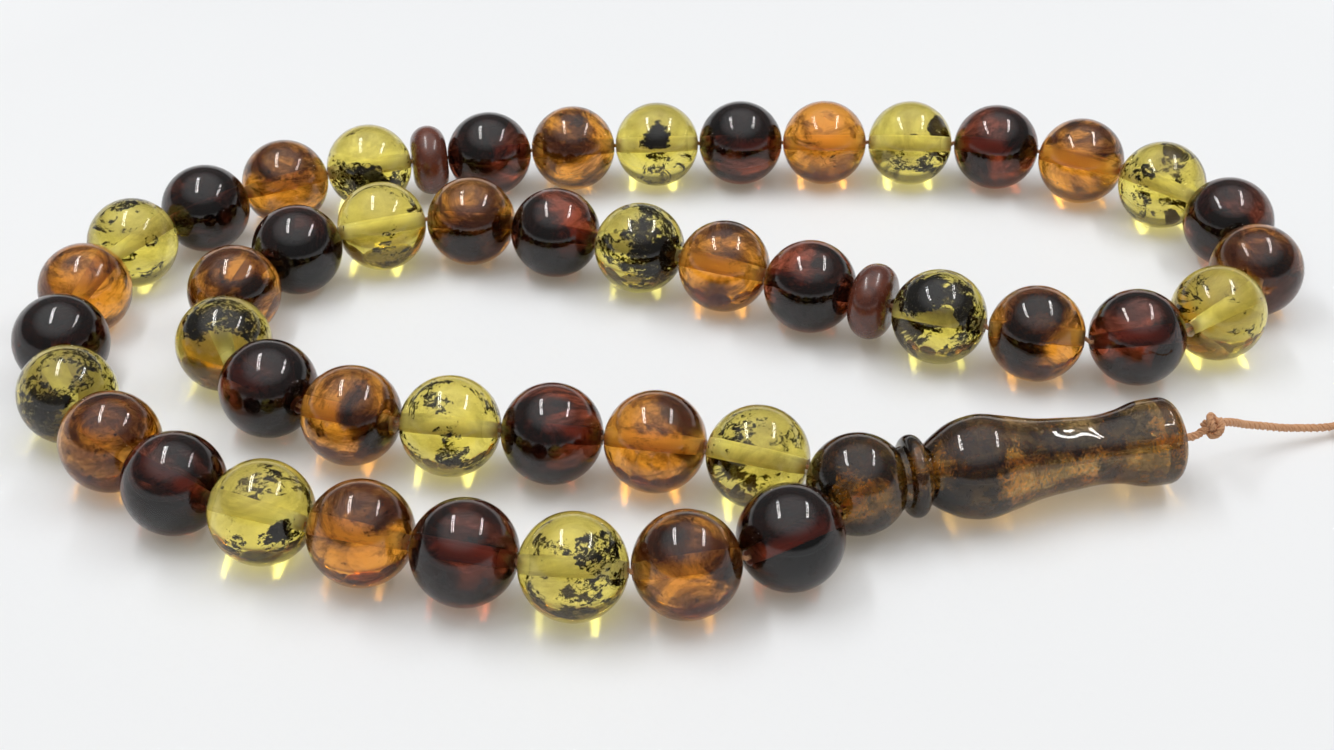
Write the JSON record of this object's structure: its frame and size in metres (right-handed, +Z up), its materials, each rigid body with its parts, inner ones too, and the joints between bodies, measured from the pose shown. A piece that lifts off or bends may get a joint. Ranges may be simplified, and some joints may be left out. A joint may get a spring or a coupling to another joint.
{
  "type": "misbaha prayer beads",
  "caption": "Misbaha of round amber beads in three groups parted by pause discs, on one cord that runs through a turned imam piece to a knotted tail.",
  "frame": {"origin": "on the table under the middle of the laid-out beads", "axes": "+Z up, +X along the imam towards its tail, across the long way of the laid-out loop, +Y away from the imam's strand towards the back of the loop"},
  "size_m": [0.1715, 0.1058, 0.012],
  "materials": {
    "yellow_amber": "polished translucent lemon-yellow amber with black inclusions",
    "cognac_amber": "polished translucent cognac amber",
    "cherry_amber": "polished dark cherry amber",
    "pause_disc": "satin reddish-brown amber",
    "imam_amber": "polished mottled brown and olive amber",
    "cord": "twisted waxed thread, terracotta tan"
  },
  "bodies": {
    "cord": {"stringing_cord": "cord", "tail_cord": "cord", "tail_knot_1": "cord", "tail_knot_2": "cord"},
    "imam": {"imam": "imam_amber"},
    "pause_disc_1": {"pause_disc_1": "pause_disc"},
    "pause_disc_2": {"pause_disc_2": "pause_disc"},
    "bead_01": {"bead_01": "yellow_amber"},
    "bead_02": {"bead_02": "cognac_amber"},
    "bead_03": {"bead_03": "cherry_amber"},
    "bead_04": {"bead_04": "yellow_amber"},
    "bead_05": {"bead_05": "cognac_amber"},
    "bead_06": {"bead_06": "cherry_amber"},
    "bead_07": {"bead_07": "yellow_amber"},
    "bead_08": {"bead_08": "cognac_amber"},
    "bead_09": {"bead_09": "cherry_amber"},
    "bead_10": {"bead_10": "yellow_amber"},
    "bead_11": {"bead_11": "cognac_amber"},
    "bead_12": {"bead_12": "cherry_amber"},
    "bead_13": {"bead_13": "yellow_amber"},
    "bead_14": {"bead_14": "cognac_amber"},
    "bead_15": {"bead_15": "cherry_amber"},
    "bead_16": {"bead_16": "yellow_amber"},
    "bead_17": {"bead_17": "cognac_amber"},
    "bead_18": {"bead_18": "cherry_amber"},
    "bead_19": {"bead_19": "yellow_amber"},
    "bead_20": {"bead_20": "cognac_amber"},
    "bead_21": {"bead_21": "cherry_amber"},
    "bead_22": {"bead_22": "yellow_amber"},
    "bead_23": {"bead_23": "cognac_amber"},
    "bead_24": {"bead_24": "cherry_amber"},
    "bead_25": {"bead_25": "yellow_amber"},
    "bead_26": {"bead_26": "cognac_amber"},
    "bead_27": {"bead_27": "cherry_amber"},
    "bead_28": {"bead_28": "yellow_amber"},
    "bead_29": {"bead_29": "cognac_amber"},
    "bead_30": {"bead_30": "cherry_amber"},
    "bead_31": {"bead_31": "yellow_amber"},
    "bead_32": {"bead_32": "cognac_amber"},
    "bead_33": {"bead_33": "cherry_amber"},
    "bead_34": {"bead_34": "yellow_amber"},
    "bead_35": {"bead_35": "cognac_amber"},
    "bead_36": {"bead_36": "cherry_amber"},
    "bead_37": {"bead_37": "yellow_amber"},
    "bead_38": {"bead_38": "cognac_amber"},
    "bead_39": {"bead_39": "cherry_amber"},
    "bead_40": {"bead_40": "yellow_amber"},
    "bead_41": {"bead_41": "cognac_amber"},
    "bead_42": {"bead_42": "cherry_amber"},
    "bead_43": {"bead_43": "yellow_amber"},
    "bead_44": {"bead_44": "cognac_amber"},
    "bead_45": {"bead_45": "cherry_amber"}
  },
  "joints": [
    {"name": "imam_slide", "type": "slide", "parent": "cord", "child": "imam", "axis": [0.9811, 0.1934, 0], "range_m": [0, 0.002]},
    {"name": "pause_disc_1_spin", "type": "hinge", "parent": "cord", "child": "pause_disc_1", "pos_m": [0.02577, 0.00418, 0.006], "axis": [0.8994, -0.4372, 0], "continuous": true},
    {"name": "pause_disc_2_spin", "type": "hinge", "parent": "cord", "child": "pause_disc_2", "pos_m": [-0.03415, 0.04361, 0.006], "axis": [-0.9833, -0.1819, 0], "continuous": true},
    {"name": "bead_01_spin", "type": "hinge", "parent": "cord", "child": "bead_01", "pos_m": [0.00955, -0.02802, 0.006], "axis": [-0.9345, 0.356, 0], "continuous": true},
    {"name": "bead_02_spin", "type": "hinge", "parent": "cord", "child": "bead_02", "pos_m": [-0.00215, -0.02477, 0.006], "axis": [-0.9768, 0.2139, 0], "continuous": true},
    {"name": "bead_03_spin", "type": "hinge", "parent": "cord", "child": "bead_03", "pos_m": [-0.01414, -0.02283, 0.006], "axis": [-0.9877, 0.1562, 0], "continuous": true},
    {"name": "bead_04_spin", "type": "hinge", "parent": "cord", "child": "bead_04", "pos_m": [-0.02615, -0.02098, 0.006], "axis": [-0.9839, 0.1788, 0], "continuous": true},
    {"name": "bead_05_spin", "type": "hinge", "parent": "cord", "child": "bead_05", "pos_m": [-0.03803, -0.01849, 0.006], "axis": [-0.9375, 0.3479, 0], "continuous": true},
    {"name": "bead_06_spin", "type": "hinge", "parent": "cord", "child": "bead_06", "pos_m": [-0.04867, -0.01262, 0.006], "axis": [-0.7466, 0.6653, 0], "continuous": true},
    {"name": "bead_07_spin", "type": "hinge", "parent": "cord", "child": "bead_07", "pos_m": [-0.05572, -0.00273, 0.006], "axis": [-0.3332, 0.9429, 0], "continuous": true},
    {"name": "bead_08_spin", "type": "hinge", "parent": "cord", "child": "bead_08", "pos_m": [-0.05645, 0.0094, 0.006], "axis": [0.2591, 0.9659, 0], "continuous": true},
    {"name": "bead_09_spin", "type": "hinge", "parent": "cord", "child": "bead_09", "pos_m": [-0.04975, 0.01953, 0.006], "axis": [0.7383, 0.6744, 0], "continuous": true},
    {"name": "bead_10_spin", "type": "hinge", "parent": "cord", "child": "bead_10", "pos_m": [-0.03905, 0.02528, 0.006], "axis": [0.9599, 0.2803, 0], "continuous": true},
    {"name": "bead_11_spin", "type": "hinge", "parent": "cord", "child": "bead_11", "pos_m": [-0.02694, 0.02619, 0.006], "axis": [0.994, -0.1095, 0], "continuous": true},
    {"name": "bead_12_spin", "type": "hinge", "parent": "cord", "child": "bead_12", "pos_m": [-0.01532, 0.02267, 0.006], "axis": [0.9456, -0.3252, 0], "continuous": true},
    {"name": "bead_13_spin", "type": "hinge", "parent": "cord", "child": "bead_13", "pos_m": [-0.00399, 0.01829, 0.006], "axis": [0.9226, -0.3858, 0], "continuous": true},
    {"name": "bead_14_spin", "type": "hinge", "parent": "cord", "child": "bead_14", "pos_m": [0.00709, 0.0133, 0.006], "axis": [0.9053, -0.4248, 0], "continuous": true},
    {"name": "bead_15_spin", "type": "hinge", "parent": "cord", "child": "bead_15", "pos_m": [0.018, 0.00798, 0.006], "axis": [0.8986, -0.4388, 0], "continuous": true},
    {"name": "bead_16_spin", "type": "hinge", "parent": "cord", "child": "bead_16", "pos_m": [0.0337, 0.00035, 0.006], "axis": [0.9249, -0.3801, 0], "continuous": true},
    {"name": "bead_17_spin", "type": "hinge", "parent": "cord", "child": "bead_17", "pos_m": [0.04527, -0.00384, 0.006], "axis": [0.975, -0.2224, 0], "continuous": true},
    {"name": "bead_18_spin", "type": "hinge", "parent": "cord", "child": "bead_18", "pos_m": [0.05751, -0.00509, 0.006], "axis": [0.9868, 0.1619, 0], "continuous": true},
    {"name": "bead_19_spin", "type": "hinge", "parent": "cord", "child": "bead_19", "pos_m": [0.06871, 0.00001, 0.006], "axis": [0.7753, 0.6316, 0], "continuous": true},
    {"name": "bead_20_spin", "type": "hinge", "parent": "cord", "child": "bead_20", "pos_m": [0.07597, 0.00995, 0.006], "axis": [0.2839, 0.9589, 0], "continuous": true},
    {"name": "bead_21_spin", "type": "hinge", "parent": "cord", "child": "bead_21", "pos_m": [0.0753, 0.02224, 0.006], "axis": [-0.3118, 0.9502, 0], "continuous": true},
    {"name": "bead_22_spin", "type": "hinge", "parent": "cord", "child": "bead_22", "pos_m": [0.06856, 0.03254, 0.006], "axis": [-0.6897, 0.7241, 0], "continuous": true},
    {"name": "bead_23_spin", "type": "hinge", "parent": "cord", "child": "bead_23", "pos_m": [0.0586, 0.03976, 0.006], "axis": [-0.8757, 0.4829, 0], "continuous": true},
    {"name": "bead_24_spin", "type": "hinge", "parent": "cord", "child": "bead_24", "pos_m": [0.04717, 0.04433, 0.006], "axis": [-0.9671, 0.2543, 0], "continuous": true},
    {"name": "bead_25_spin", "type": "hinge", "parent": "cord", "child": "bead_25", "pos_m": [0.03498, 0.04598, 0.006], "axis": [-0.9958, 0.0912, 0], "continuous": true},
    {"name": "bead_26_spin", "type": "hinge", "parent": "cord", "child": "bead_26", "pos_m": [0.02269, 0.04657, 0.006], "axis": [-0.9992, 0.0412, 0], "continuous": true},
    {"name": "bead_27_spin", "type": "hinge", "parent": "cord", "child": "bead_27", "pos_m": [0.01058, 0.04698, 0.006], "axis": [-0.9998, 0.0182, 0], "continuous": true},
    {"name": "bead_28_spin", "type": "hinge", "parent": "cord", "child": "bead_28", "pos_m": [-0.00153, 0.04701, 0.006], "axis": [-0.9997, -0.0258, 0], "continuous": true},
    {"name": "bead_29_spin", "type": "hinge", "parent": "cord", "child": "bead_29", "pos_m": [-0.01362, 0.04636, 0.006], "axis": [-0.9966, -0.0822, 0], "continuous": true},
    {"name": "bead_30_spin", "type": "hinge", "parent": "cord", "child": "bead_30", "pos_m": [-0.02565, 0.04502, 0.006], "axis": [-0.9912, -0.1326, 0], "continuous": true},
    {"name": "bead_31_spin", "type": "hinge", "parent": "cord", "child": "bead_31", "pos_m": [-0.04258, 0.04189, 0.006], "axis": [-0.9594, -0.282, 0], "continuous": true},
    {"name": "bead_32_spin", "type": "hinge", "parent": "cord", "child": "bead_32", "pos_m": [-0.05397, 0.03778, 0.006], "axis": [-0.8904, -0.4551, 0], "continuous": true},
    {"name": "bead_33_spin", "type": "hinge", "parent": "cord", "child": "bead_33", "pos_m": [-0.06398, 0.03096, 0.006], "axis": [-0.7586, -0.6515, 0], "continuous": true},
    {"name": "bead_34_spin", "type": "hinge", "parent": "cord", "child": "bead_34", "pos_m": [-0.07223, 0.0221, 0.006], "axis": [-0.5096, -0.8604, 0], "continuous": true},
    {"name": "bead_35_spin", "type": "hinge", "parent": "cord", "child": "bead_35", "pos_m": [-0.07603, 0.0106, 0.006], "axis": [-0.1704, -0.9854, 0], "continuous": true},
    {"name": "bead_36_spin", "type": "hinge", "parent": "cord", "child": "bead_36", "pos_m": [-0.07632, -0.0015, 0.006], "axis": [0.134, -0.991, 0], "continuous": true},
    {"name": "bead_37_spin", "type": "hinge", "parent": "cord", "child": "bead_37", "pos_m": [-0.07283, -0.0131, 0.006], "axis": [0.4513, -0.8924, 0], "continuous": true},
    {"name": "bead_38_spin", "type": "hinge", "parent": "cord", "child": "bead_38", "pos_m": [-0.06556, -0.02278, 0.006], "axis": [0.6731, -0.7395, 0], "continuous": true},
    {"name": "bead_39_spin", "type": "hinge", "parent": "cord", "child": "bead_39", "pos_m": [-0.0566, -0.03093, 0.006], "axis": [0.8213, -0.5705, 0], "continuous": true},
    {"name": "bead_40_spin", "type": "hinge", "parent": "cord", "child": "bead_40", "pos_m": [-0.04584, -0.03648, 0.006], "axis": [0.9189, -0.3946, 0], "continuous": true},
    {"name": "bead_41_spin", "type": "hinge", "parent": "cord", "child": "bead_41", "pos_m": [-0.0344, -0.04046, 0.006], "axis": [0.9498, -0.3129, 0], "continuous": true},
    {"name": "bead_42_spin", "type": "hinge", "parent": "cord", "child": "bead_42", "pos_m": [-0.02284, -0.04406, 0.006], "axis": [0.9652, -0.2616, 0], "continuous": true},
    {"name": "bead_43_spin", "type": "hinge", "parent": "cord", "child": "bead_43", "pos_m": [-0.01104, -0.04679, 0.006], "axis": [0.9936, -0.1127, 0], "continuous": true},
    {"name": "bead_44_spin", "type": "hinge", "parent": "cord", "child": "bead_44", "pos_m": [0.00107, -0.04677, 0.006], "axis": [0.9839, 0.1788, 0], "continuous": true},
    {"name": "bead_45_spin", "type": "hinge", "parent": "cord", "child": "bead_45", "pos_m": [0.01241, -0.04253, 0.006], "axis": [0.8238, 0.5669, 0], "continuous": true}
  ]
}
